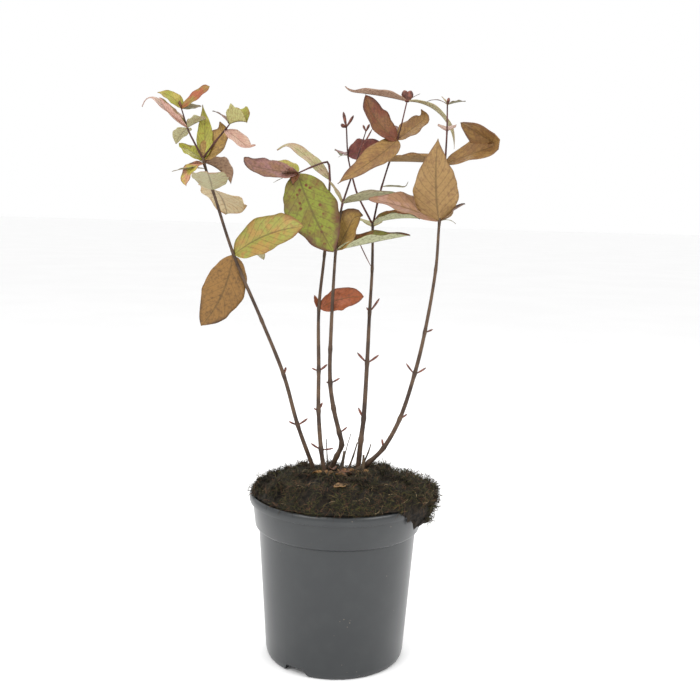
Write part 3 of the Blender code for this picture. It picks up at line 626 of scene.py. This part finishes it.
def grow_leaf(bm, leaf, root, slots):
    """A thin blade: an upper and a lower face, and a rim between them. Its map runs along and across it."""
    rows = leaf_rows(leaf, root)
    marks = bm.loops.layers.uv.verify()
    segments, strips = len(rows) - 1, len(rows[0]) - 1
    thickness = max(0.28, leaf.length * 0.005)
    faces = []
    for sign, slot in ((1, slots[0]), (-1, slots[1])):
        grid = [[bm.verts.new((point + facing * (sign * thickness / 2)) * MM) for point, facing, _, _ in row]
                for row in rows]
        faces.append(grid)
        for i in range(segments):
            for k in range(strips):
                corners = [(i, k), (i, k + 1), (i + 1, k + 1), (i + 1, k)]
                if sign > 0:
                    corners.reverse()
                face = bm.faces.new([grid[a][b] for a, b in corners])
                face.smooth = True
                face.material_index = slot
                for loop, (a, b) in zip(face.loops, corners):
                    loop[marks].uv = rows[a][b][2:]
    upper, lower = faces
    rim = [(i, 0) for i in range(segments + 1)] + [(segments, k) for k in range(1, strips + 1)]
    rim += [(i, strips) for i in range(segments - 1, -1, -1)] + [(0, k) for k in range(strips - 1, 0, -1)]
    for (a, b), (c, d) in zip(rim, rim[1:] + rim[:1]):
        face = bm.faces.new((upper[a][b], upper[c][d], lower[c][d], lower[a][b]))
        face.material_index = slots[0]
        for loop, (e, f) in zip(face.loops, ((a, b), (c, d), (c, d), (a, b))):
            loop[marks].uv = rows[e][f][2:]


# Leaf looks: the face's two colours, that of its margin and tip, that of its underside, and how far the
# margin has turned.
LOOKS = {
    "golden": ("98984a", "ac8c4e", "865c36", "a8a272", 0.4),
    "tan_brown": ("956d3a", "7a542c", "3a271c", "906b3c", 0.5),
    "olive": ("97983f", "b0a255", "8a5b36", "b7b183", 0.3),
    "pale": ("aaa678", "b8a584", "9c7660", "b2ac86", 0.3),
    "cream": ("c2b088", "cea885", "a87440", "c6b48e", 0.35),
    "mauve": ("8f6a50", "9c736c", "4c2a28", "a3866e", 0.35),
    "lime_pink": ("b5ad4c", "c98f78", "8a5a35", "c4b578", 0.3),
    "grey_green": ("8c8e66", "a0967a", "665240", "a09c7a", 0.3),
    "dark": ("6d4630", "84573a", "33211a", "6a4a36", 0.4),
    "lime": ("a8a748", "989540", "80572f", "b3ae74", 0.2),
    "amber": ("9c7c42", "a4854c", "5e3a28", "a08a5c", 0.45),
    "russet": ("96512f", "a8644a", "5a3024", "9c5e48", 0.35),
    "green_brown": ("7e7f3a", "96643c", "3f2a1e", "b9bb94", 0.35),
    "tan": ("9c7a4a", "8b6841", "6a4632", "9b7c50", 0.4),
    "tan_pink": ("9c7858", "aa8674", "805648", "b09480", 0.25),
    "olive_pink": ("908a4c", "a57a68", "84503f", "c49c8c", 0.25),
    "pink": ("c09a88", "c8a994", "a4716a", "c9ab98", 0.2),
    "olive_red": ("94853f", "a8603f", "8c4a38", "a87a58", 0.4),
    "green_spotted": ("838a35", "7e7434", "5e362c", "93945a", 0.5),
    "maroon": ("6b3531", "7c4439", "421f20", "8a8a6c", 0.3),
    "red_brown": ("7a4530", "845a38", "4a2822", "847848", 0.4),
}
SPOTTED_LOOKS = ("green_spotted", "lime", "lime_pink")
BLOTCH = 11.11
SPECKLE = 2.381
SPOT_SPACING = 5.88
SPOT_PATCH = 16.67
VEIN_PAIRS = 9.0
VEIN_SLANT = 2.6


def leaf_material(name, face, blotch, margin, turned, spotted):
    """A waxy leaf face in autumn, with a low sheen: blotched, speckled, veined, and browned at its margin."""
    made, tree, shader = new_material(name, 0.55, 0.35)
    place = add_node(tree, "ShaderNodeTexCoord", {}, "Object")
    share = add_node(tree, "ShaderNodeSeparateXYZ", {0: add_node(tree, "ShaderNodeUVMap", {})}, "X")
    across = add_node(tree, "ShaderNodeSeparateXYZ", {0: add_node(tree, "ShaderNodeUVMap", {})}, "Y")
    edge = add_node(tree, "ShaderNodeMath", {0: across, 1: 2.0, 2: -1.0}, operation="MULTIPLY_ADD")
    edge = add_node(tree, "ShaderNodeMath", {0: edge}, operation="ABSOLUTE")

    patches = add_node(tree, "ShaderNodeTexNoise", {"Vector": place, "Scale": 1 / (BLOTCH * MM), "Detail": 3})
    blotched = add_node(tree, "ShaderNodeMapRange", {"Value": patches, "From Min": 0.4, "From Max": 0.62},
                        interpolation_type="SMOOTHSTEP")
    colour = add_node(tree, "ShaderNodeMix", {0: blotched, 6: rgb(face), 7: rgb(blotch)}, 2, data_type="RGBA")
    fine = add_node(tree, "ShaderNodeTexNoise", {"Vector": place, "Scale": 1 / (SPECKLE * MM), "Detail": 4})
    speckled = add_node(tree, "ShaderNodeMapRange",
                        {"Value": fine, "From Min": 0.42, "From Max": 0.75, "To Max": 0.55},
                        interpolation_type="SMOOTHSTEP")
    colour = add_node(tree, "ShaderNodeMix", {0: speckled, 6: colour, 7: rgb(margin)}, 2, data_type="RGBA")

    reach = add_node(tree, "ShaderNodeMath", {0: edge, 1: 0.75}, operation="MULTIPLY")
    reach = add_node(tree, "ShaderNodeMath", {0: share, 1: 0.55, 2: reach}, operation="MULTIPLY_ADD")
    reach = add_node(tree, "ShaderNodeMath", {0: patches, 1: 0.5, 2: reach}, operation="MULTIPLY_ADD")
    browned = add_node(tree, "ShaderNodeMapRange",
                       {"Value": reach, "From Min": 1.45 - turned, "From Max": 1.72 - turned * 0.4},
                       interpolation_type="SMOOTHSTEP")
    colour = add_node(tree, "ShaderNodeMix", {0: browned, 6: colour, 7: rgb(margin)}, 2, data_type="RGBA")
    if spotted:
        spots = add_node(tree, "ShaderNodeTexVoronoi", {"Vector": place, "Scale": 1 / (SPOT_SPACING * MM)})
        spots = add_node(tree, "ShaderNodeMapRange",
                         {"Value": spots, "From Min": 0.16, "From Max": 0.36, "To Min": 1, "To Max": 0},
                         interpolation_type="SMOOTHSTEP")
        group = add_node(tree, "ShaderNodeTexNoise",
                         {"Vector": place, "Scale": 1 / (SPOT_PATCH * MM), "Detail": 3})
        group = add_node(tree, "ShaderNodeMapRange", {"Value": group, "From Min": 0.42, "From Max": 0.56},
                         interpolation_type="SMOOTHSTEP")
        spots = add_node(tree, "ShaderNodeMath", {0: spots, 1: group}, operation="MULTIPLY")
        colour = add_node(tree, "ShaderNodeMix", {0: spots, 6: colour, 7: rgb("6a3a22")}, 2, data_type="RGBA")

    slant = add_node(tree, "ShaderNodeMath", {0: edge, 1: VEIN_SLANT}, operation="MULTIPLY")
    veins = add_node(tree, "ShaderNodeMath", {0: share, 1: VEIN_PAIRS}, operation="MULTIPLY")
    veins = add_node(tree, "ShaderNodeMath", {0: veins, 1: slant}, operation="SUBTRACT")
    veins = add_node(tree, "ShaderNodeMath", {0: veins}, operation="FRACT")
    veins = add_node(tree, "ShaderNodeMath", {0: veins, 1: 0.5}, operation="SUBTRACT")
    veins = add_node(tree, "ShaderNodeMath", {0: veins}, operation="ABSOLUTE")
    veins = add_node(tree, "ShaderNodeMapRange",
                     {"Value": veins, "From Min": 0.02, "From Max": 0.1, "To Min": 0.42, "To Max": 0},
                     interpolation_type="SMOOTHSTEP")
    midrib = add_node(tree, "ShaderNodeMapRange",
                      {"Value": edge, "From Min": 0.02, "From Max": 0.07, "To Min": 0.6, "To Max": 0},
                      interpolation_type="SMOOTHSTEP")
    lines = add_node(tree, "ShaderNodeMath", {0: veins, 1: midrib}, operation="MAXIMUM")
    colour = add_node(tree, "ShaderNodeMix", {0: lines, 6: colour, 7: rgb("584526")}, 2, data_type="RGBA")
    aged = add_node(tree, "ShaderNodeHueSaturation", {"Color": colour, "Saturation": 1.04, "Value": 0.8})
    tree.links.new(aged, shader.inputs["Base Color"])
    height = add_node(tree, "ShaderNodeMath", {0: fine, 1: lines}, operation="SUBTRACT")
    relief = add_node(tree, "ShaderNodeBump", {"Height": height, "Strength": 0.5, "Distance": 0.0004})
    tree.links.new(relief, shader.inputs["Normal"])
    return made


leaf_faces = {}
for look, (face, blotch, margin, under, turned) in LOOKS.items():
    upper = leaf_material(f"leaf_{look}", face, blotch, margin, turned, look in SPOTTED_LOOKS)
    lower = leaf_material(f"leaf_{look}_under", under, under, margin, turned * 0.6, False)
    leaf_faces[look] = (upper, lower)


def grow_foliage(bm, growths, root_of):
    """Leaves and buds of one node or twig, and their materials: bark, buds, then two for each look."""
    looks = list(dict.fromkeys(growth.look for growth in growths if isinstance(growth, Leaf)))
    for growth in growths:
        root = root_of(growth)
        if isinstance(growth, Bud):
            grow_bud(bm, growth, root, 1)
        else:
            first = 2 + 2 * looks.index(growth.look)
            grow_leaf(bm, growth, root, (first, first + 1))
    return [young_bark, bud_scales] + [made for look in looks for made in leaf_faces[look]]


def clasp_root(limb, node, growth):
    """Where a leaf without a stalk starts: inside the cane's bark, on the leaf's own side."""
    centre, along, radius = limb.at(node)
    out = direction_of(growth.heading, 0)
    square = (out - along * out.dot(along)).normalized()
    return centre + square * (radius * 0.6) + along * growth.lift


for name, mass in CLASPING_FOLIAGE.items():
    limb = limbs[mass["cane"]]
    bm = bmesh.new()
    materials = grow_foliage(bm, mass["leaves"], lambda growth: clasp_root(limb, mass["node"], growth))
    finish_piece(name + "_leaves", bm, materials, "leaf", name)

# Foliage on twigs: each twig carries on from a limb's tip, in young bark, with its pairs of leaves and, at
# its end, the dry capsules and buds of the last flowers.
TWIG_SINK = 1.0
TWIG_FOLIAGE = {
    "foliage_left_outer": {
        "limb": "bough_left_outer", "width": (1.6, 1.1),
        "nodes": ((-141.3, -38, 500.2), (-147.2, -35, 517.5)),
        "leaves": (Leaf("olive_pink", 1, 190, 22, 36, 16, droop=-45, fold=50, roll=-10, point=0.7),
                   Leaf("pink", 1, 166, 43, 56, 16, droop=12, hook=95, roll=-15),
                   Leaf("pale", 1, 15, 36, 19, 20, fold=40),
                   Leaf("olive", 1, 122, -8, 30, 16, droop=30),
                   Leaf("olive", 2, 165, 62, 28, 13, droop=58, roll=-40),
                   Leaf("olive_red", 2, 350, 38, 32, 13, droop=3, roll=50, point=0.45),
                   Leaf("grey_green", 2, 20, 12, 18, 8, droop=5, roll=40),
                   Bud(2, 170, 70, 6, 2.4)),
    },
    "foliage_left_inner": {
        "limb": "bough_left_inner", "width": (1.6, 1.2),
        "nodes": ((-106, -55, 498), (-102, -58, 502.5)),
        "leaves": (Leaf("lime", 2, 318, 18, 23, 30, droop=30, fold=60, point=0.6),
                   Leaf("dark", 2, 165, 60, 20, 9, droop=45),
                   Leaf("pink", 1, 340, -28, 34, 16, droop=15, hook=-70, roll=30)),
    },
    "foliage_mid_left_top": {
        "limb": "cane_mid_left", "width": (2.1, 1.4),
        "nodes": ((-15.7, 28, 461), (-16.8, 29.6, 475), (-18.6, 29.2, 478), (-33.8, 20, 472),
                  (-46, 10, 465.5)),
        "leaves": (Leaf("pale", 1, 166, 48, 66, 15, droop=22, hook=60, roll=-35),
                   Leaf("green_spotted", 5, 325, -66, 84, 50, droop=-14, roll=42, fold=6, point=0.8),
                   Leaf("mauve", 5, 195, 3, 54, 22, droop=-8, hook=-40, roll=-52, point=0.6),
                   Leaf("olive", 5, 140, 28, 36, 18, roll=-20),
                   Leaf("olive", 5, 75, -25, 48, 26, droop=40),
                   Leaf("dark", 5, 215, 5, 17, 11, curl=40),
                   Leaf("dark", 5, 250, -40, 15, 10, curl=40),
                   Leaf("grey_green", 5, 200, -14, 25, 3.2),
                   Bud(5, 200, 20, 9, 6)),
    },
    "foliage_middle_top": {
        "limb": "cane_middle", "width": (2.1, 1.0),
        "nodes": ((-3, 8, 438.5), (7.5, 22, 472.6), (12.3, 29, 490), (17.6, 34, 508)),
        "leaves": (Leaf("pale", 1, 150, 62, 27, 8),
                   Leaf("grey_green", 1, 355, 12, 62, 20, droop=10, fold=52, roll=12),
                   Bud(3, 25, 55, 22, 1.5),
                   Bud(4, 20, 60, 7, 2.4),
                   Bud(4, 170, 60, 6, 2.2)),
    },
    "foliage_mid_right_left": {
        "limb": "bough_mid_right_left", "width": (1.6, 1.4),
        "nodes": ((1.1, 53, 485.5), (-1.2, 57, 513.7)),
        "leaves": (Leaf("maroon", 1, 8, 22, 42, 28, droop=14, roll=50),
                   Leaf("grey_green", 1, 190, 18, 10, 2, droop=50),
                   Leaf("maroon", 1, 100, 25, 40, 22, droop=40),
                   Bud(2, 130, 68, 14, 3.2),
                   Bud(2, 10, 55, 12, 2.8),
                   Bud(2, 200, 10, 6, 4)),
    },
    "foliage_mid_right_right": {
        "limb": "bough_mid_right_right", "width": (1.8, 1.2),
        "nodes": ((34.7, 44, 456.2), (41.1, 44, 478.8), (48.4, 40, 501.2), (56.1, 36, 537)),
        "leaves": (Leaf("grey_green", 1, 0, 6, 29, 6, hook=-80, fold=30),
                   Leaf("red_brown", 3, 190, 28, 54, 30, droop=-45, roll=-55, point=0.7),
                   Leaf("tan", 3, 12, 36, 44, 28, droop=-5, hook=-90, roll=30),
                   Leaf("tan", 3, 240, -30, 84, 25, droop=4, sway=-48, roll=-35),
                   Leaf("red_brown", 3, 105, 40, 40, 20, droop=30),
                   Leaf("tan_pink", 4, 182, 12, 62, 18, droop=10, hook=-60, crease=0.8, fold=35),
                   Leaf("pale", 4, 8, 6, 72, 12, droop=92, fold=30),
                   Leaf("dark", 4, 10, 40, 15, 3),
                   Bud(4, 150, 70, 10, 7),
                   Bud(4, 20, 66, 10, 7)),
    },
    "foliage_right_top": {
        "limb": "cane_right", "width": (2.0, 1.3),
        "nodes": ((91.1, -2, 477.4), (91.9, 1, 507.5), (91.4, 2, 531)),
        "leaves": (Leaf("tan", 1, 147, 5, 71, 22, droop=6, fold=45, roll=-10),
                   Leaf("tan", 1, 348, 21, 86, 34, droop=2, hook=-131, crease=0.53, roll=40, fold=14,
                        point=0.6, snap=0.09),
                   Leaf("tan_pink", 2, 85, 30, 34, 18, droop=40),
                   Leaf("maroon", 3, 352, 20, 17, 12),
                   Leaf("dark", 3, 175, 45, 22, 3, droop=75),
                   Leaf("pale", 3, 150, 60, 10, 5),
                   Bud(3, 300, 70, 6, 3)),
    },
}

for name, mass in TWIG_FOLIAGE.items():
    tip, along, _ = limbs[mass["limb"]].at(-1)
    twig = Limb((tip - along * TWIG_SINK, *mass["nodes"]), mass["width"])
    bm = bmesh.new()
    grow_tube(bm, twig.rings(), 0)
    materials = grow_foliage(bm, mass["leaves"], lambda growth: twig.at(growth.node)[0])
    finish_piece(name + "_leaves", bm, materials, "leaf", name)

# Dead stubs: old cut shoots and straws that stand in the peat round the canes' feet. Each has a width at its
# foot and at its tip, then the points that it passes.
DEAD_STUBS = {
    "stub_thin_left": ((1.3, 0.9), ((-10.8, -4, FOOT), (-11.4, -3.5, 196), (-12.8, -2, 214))),
    "stub_dark": ((3.4, 2.2), ((1.5, -3, FOOT), (3.4, -1.5, 190), (5, 0, 202))),
    "stub_straw": ((1.0, 0.7), ((3.6, 3.4, FOOT), (6.6, 3.2, 202), (11.1, 6, 218.5))),
    "stub_middle": ((2.0, 1.2), ((9.2, 1, FOOT), (13.8, 3, 196.6), (17.4, 1.5, 210.5))),
    "stub_right": ((2.2, 1.0), ((22.6, 13.4, FOOT), (28.5, 14, 197.4), (31, 15, 206))),
    "stub_shoot": ((3.4, 2.0), ((22.6, -12.5, FOOT), (23.4, -11.5, 193), (23.4, -11, 201.5))),
}

# Dead wood is grey-brown, dull and split along its grain, in flecks of 4.5 mm.
dead_wood = coarse_material("dead_wood", "2f2a22", "5a4a38", 4.545, 0.8, 0.0004, 1.429)
for name, (width, nodes) in DEAD_STUBS.items():
    bm = bmesh.new()
    grow_tube(bm, Limb(nodes, width).rooted_rings(), 0)
    finish_piece(name + "_wood", bm, (dead_wood,), "dead_wood", name)

# Moss and fibres: thousands of short curled strands that cover the peat in clumps and hang over the lip on
# the right. Some stand up, most of them at the spill, and none at the pot's front lip.
STRANDS = 14000
STRAND_STEPS = 4
MOSS_CLUMPS = 60
SPILL_START = 0.05
FRONT_LIP = -0.055
UPRIGHT_SHARE = 0.15
UPRIGHT_AT_SPILL = 0.4
STRAND_LENGTH = (0.003, 0.010)
STRAND_WIDTH = (0.0004, 0.0009)
LYING_LIFT = (0.15, 0.75)
UPRIGHT_LIFT = (0.7, 1.25)
UPRIGHT_LENGTH = 1.4
MOST_BEND = 2.2
STRAND_TAPER = 0.7
CLEAR_OF_PEAT = 0.0003
KIND_SHARES = (52, 24, 22, 1)

# Damp moss and peat fibres have no shine. Each kind is one colour, uneven every 3 mm.
strand_materials = (
    coarse_material("moss_dark", "17160e", "2a2617", 3.333, 0.9),
    coarse_material("moss_olive", "2e2d17", "444121", 3.333, 0.9),
    coarse_material("fibre_brown", "32241a", "553d2a", 3.333, 0.9),
    coarse_material("root_pale", "7a684e", "9c8767", 3.333, 0.85),
)
weights = [area * clamp(0.4 + 1.8 * noise.noise(centre * MOSS_CLUMPS)) for centre, _, area in heap_faces]
bm = bmesh.new()
for centre, normal, _ in random.choices(heap_faces, weights, k=STRANDS):
    turn = random.uniform(0, math.tau)
    side = Vector((math.cos(turn), math.sin(turn), random.uniform(-0.3, 0.3)))
    along = (side - normal * side.dot(normal)).normalized()
    kind = random.choices(range(len(KIND_SHARES)), KIND_SHARES)[0]
    upright_share = UPRIGHT_AT_SPILL if centre.x > SPILL_START else UPRIGHT_SHARE
    upright = centre.y > FRONT_LIP and random.random() < upright_share
    length = random.uniform(*STRAND_LENGTH) * (UPRIGHT_LENGTH if upright else 1.0)
    width = random.uniform(*STRAND_WIDTH)
    lift = random.uniform(*(UPRIGHT_LIFT if upright else LYING_LIFT))
    bend = random.uniform(-MOST_BEND, MOST_BEND)
    across = along.cross(normal).normalized()
    rows = []
    for step in range(STRAND_STEPS + 1):
        share = step / STRAND_STEPS
        rise = normal * (CLEAR_OF_PEAT + length * lift * 0.45 * math.sin(share * math.pi * 0.85))
        drift = across * (bend * length * share * share * 0.5)
        middle = centre + along * (length * share) + rise + drift
        half = across * (width * (1 - STRAND_TAPER * share) / 2)
        rows.append((bm.verts.new(middle - half), bm.verts.new(middle + half)))
    for (a, b), (c, d) in zip(rows, rows[1:]):
        face = bm.faces.new((a, b, d, c))
        face.material_index = kind
        face.smooth = True
finish_piece("moss_strands", bm, strand_materials, "compost")

# Litter: brown scraps of old leaves that have dropped round the canes' feet, and a paler one near the front.
# They lie loose on the heap.
SCRAPS = 13
LITTER_MIDDLE = Vector((2, -20, 186.5))
LITTER_DEPTH = 0.6
PALE_SCRAP = Vector((-4, -62, 184))
litter_materials = leaf_faces["tan_brown"] + leaf_faces["dark"] + leaf_faces["tan"]
bm = bmesh.new()
for i in range(SCRAPS):
    turn, reach = random.uniform(0, math.tau), random.uniform(6, 34)
    spot = LITTER_MIDDLE + Vector((reach * math.cos(turn), reach * math.sin(turn) * LITTER_DEPTH, 0))
    scrap = Leaf("dark", 0, random.uniform(0, 360), random.uniform(5, 45), random.uniform(10, 20),
                 random.uniform(6, 11), droop=random.uniform(20, 70), curl=50, fold=25)
    first = 0 if i % 3 else 2
    grow_leaf(bm, scrap, spot, (first, first + 1))
grow_leaf(bm, Leaf("tan", 0, 20, 10, 18, 12, droop=20, fold=10), PALE_SCRAP, (4, 5))
finish_piece("leaf_litter", bm, litter_materials, "leaf")

# Floor and light: a pale matt floor and a white surround, with three large soft lamps. Two stand in front,
# on the left and right, and one behind.
FLOOR_SIZE = 80.0
LAMP_AIM = Vector((0, 0, 0.3))
LAMPS = (((-0.9, -1.0, 1.3), 16, 0.9), ((1.1, -0.8, 1.0), 10, 0.9), ((0.1, 1.0, 1.4), 8, 1.0))

bpy.ops.mesh.primitive_plane_add(size=FLOOR_SIZE, location=(0, 0, 0))
floor = bpy.context.object
floor.name = "floor"
floor.data.materials.append(coarse_material("floor_white", "fafafa", "fcfcfc", 500, 0.8))
world = bpy.data.worlds.new("surround")
world.use_nodes = True
world.node_tree.nodes["Background"].inputs["Color"].default_value = (1, 1, 1, 1)
world.node_tree.nodes["Background"].inputs["Strength"].default_value = 1.0
bpy.context.scene.world = world
for place, power, size in LAMPS:
    lamp = bpy.data.objects.new("lamp", bpy.data.lights.new("lamp", "AREA"))
    lamp.data.energy = power
    lamp.data.size = size
    lamp.location = place
    lamp.rotation_mode = "QUATERNION"
    lamp.rotation_quaternion = (LAMP_AIM - Vector(place)).to_track_quat("-Z", "Y")
    bpy.context.scene.collection.objects.link(lamp)
bpy.context.scene.view_settings.view_transform = "Standard"
